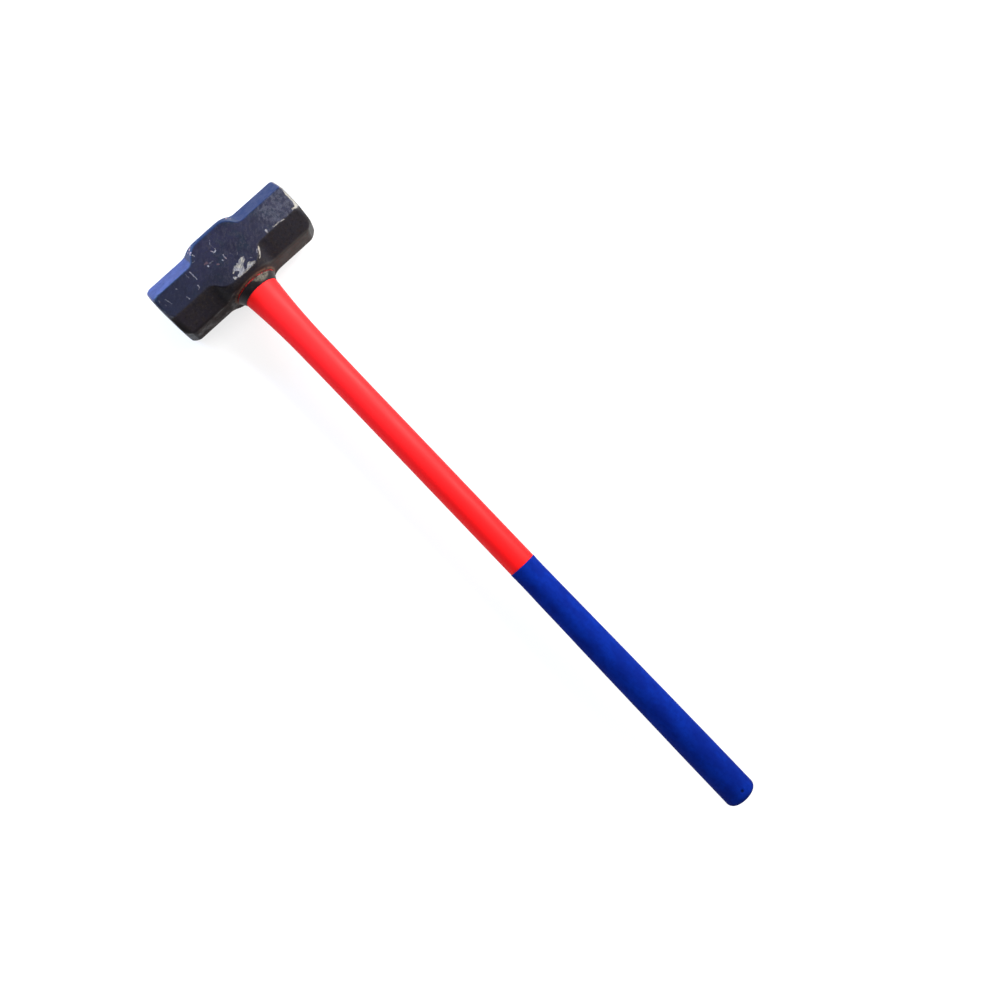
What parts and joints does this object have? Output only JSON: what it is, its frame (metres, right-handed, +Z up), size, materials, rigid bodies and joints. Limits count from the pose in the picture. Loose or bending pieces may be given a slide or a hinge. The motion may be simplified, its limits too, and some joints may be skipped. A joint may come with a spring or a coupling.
{
  "type": "sledgehammer",
  "caption": "Long-handled sledgehammer with an octagonal double-faced steel head, a straight moulded handle flared at the neck and a rubber grip, for two-handed striking.",
  "frame": {"origin": "middle of the lower cheek of the head, on the surface that the hammer lies on, straight below the handle's axis", "axes": "+X along the handle from the head to the grip, +Y along the head to one striking face, +Z up through the cheeks"},
  "size_m": [0.9, 0.199, 0.073],
  "materials": {
    "head_paint": "thin dark navy lacquer over forged steel, chipped to bare metal on the cheek and at the edges of the striking faces",
    "resin": "cast epoxy, dark amber, slightly glossy",
    "gasket": "plain black rubber",
    "fibreglass": "pultruded glass fibre in polyester, fibres lengthwise",
    "jacket": "moulded red plastic, smooth satin gloss with light handling marks",
    "collar": "black moulded rubber, slightly glossy",
    "grip": "blue moulded rubber, matte with a fine grain"
  },
  "bodies": {
    "root": {"sledge_head": "head_paint", "eye_resin": "resin", "eye_gasket": "gasket", "handle_core": "fibreglass", "handle_jacket": "jacket", "neck_collar": "collar", "grip_sleeve": "grip"}
  },
  "joints": []
}
